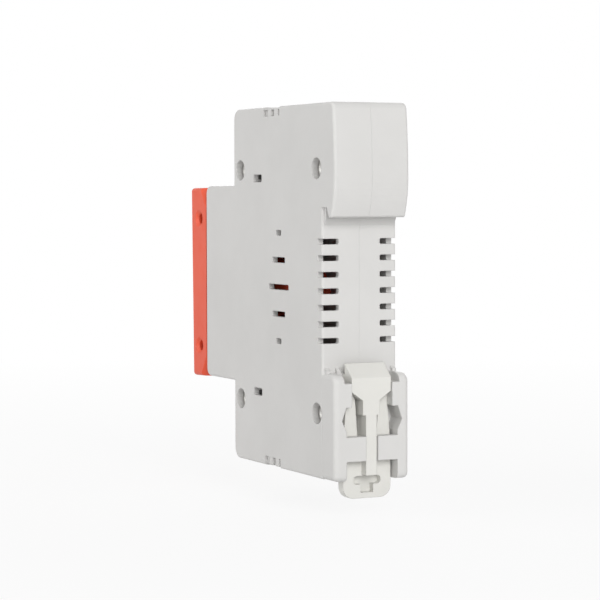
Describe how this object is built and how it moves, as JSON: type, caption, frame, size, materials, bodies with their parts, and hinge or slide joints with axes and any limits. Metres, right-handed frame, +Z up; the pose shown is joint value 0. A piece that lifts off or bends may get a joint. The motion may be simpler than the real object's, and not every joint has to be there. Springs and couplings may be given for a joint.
{
  "type": "rail-mounted fuse disconnector",
  "caption": "Narrow grey rail-mounted fuse disconnector with a red swing-out fuse carrier, box-clamp terminals and a sliding foot clip for a top-hat rail.",
  "frame": {"origin": "on the rail seat plane, at mid width, on the rail's centre line", "axes": "+X across the module, -Y out of the front towards the red carrier, +Y towards the rail, +Z up"},
  "size_m": [0.0178, 0.0769, 0.0843],
  "materials": {
    "shell": "fine matt light grey moulding",
    "carrier": "fine matt red moulding",
    "clip": "off-white satin moulding",
    "rivet": "nickel plated",
    "steel": "zinc plated",
    "screw": "zinc plated",
    "contact": "tinned copper",
    "cap": "silver plated",
    "ceramic": "unglazed ceramic",
    "sand": "bonded quartz sand",
    "fibre": "fibre board"
  },
  "bodies": {
    "housing": {"right_shell": "shell", "left_shell": "shell", "housing_rivets": "rivet", "carrier_pivot_pin": "steel", "upper_contact": "contact", "lower_contact": "contact", "upper_jaw_spring": "steel", "lower_jaw_spring": "steel"},
    "carrier": {"fuse_carrier": "carrier", "fuse_tube": "ceramic", "fuse_cap_upper": "cap", "fuse_cap_lower": "cap", "fuse_element": "cap", "fuse_filler": "sand", "fuse_end_discs": "fibre"},
    "clip": {"din_clip": "clip"},
    "upper_screw": {"upper_terminal_screw": "screw"},
    "lower_screw": {"lower_terminal_screw": "screw"},
    "upper_cage": {"upper_clamp_cage": "steel"},
    "lower_cage": {"lower_clamp_cage": "steel"}
  },
  "joints": [
    {"name": "carrier_swing", "type": "hinge", "parent": "housing", "child": "carrier", "pos_m": [0, -0.06065, -0.0207], "axis": [1, 0, 0], "range_deg": [0, 90]},
    {"name": "clip_slide", "type": "slide", "parent": "housing", "child": "clip", "axis": [0, 0, -1], "range_m": [0, 0.004]},
    {"name": "upper_screw_turn", "type": "hinge", "parent": "housing", "child": "upper_screw", "pos_m": [0, -0.04, 0.0318], "axis": [0, 1, 0], "range_deg": [0, 2475]},
    {"name": "lower_screw_turn", "type": "hinge", "parent": "housing", "child": "lower_screw", "pos_m": [0, -0.04, -0.0318], "axis": [0, 1, 0], "range_deg": [0, 2475]},
    {"name": "upper_cage_slide", "type": "slide", "parent": "housing", "child": "upper_cage", "axis": [0, -1, 0], "range_m": [0, 0.0055]},
    {"name": "lower_cage_slide", "type": "slide", "parent": "housing", "child": "lower_cage", "axis": [0, -1, 0], "range_m": [0, 0.0055]}
  ],
  "couplings": [
    {"joint": "upper_screw_turn", "follows": "upper_cage_slide", "rad_per_m": 7853.9},
    {"joint": "lower_screw_turn", "follows": "lower_cage_slide", "rad_per_m": 7853.9}
  ]
}
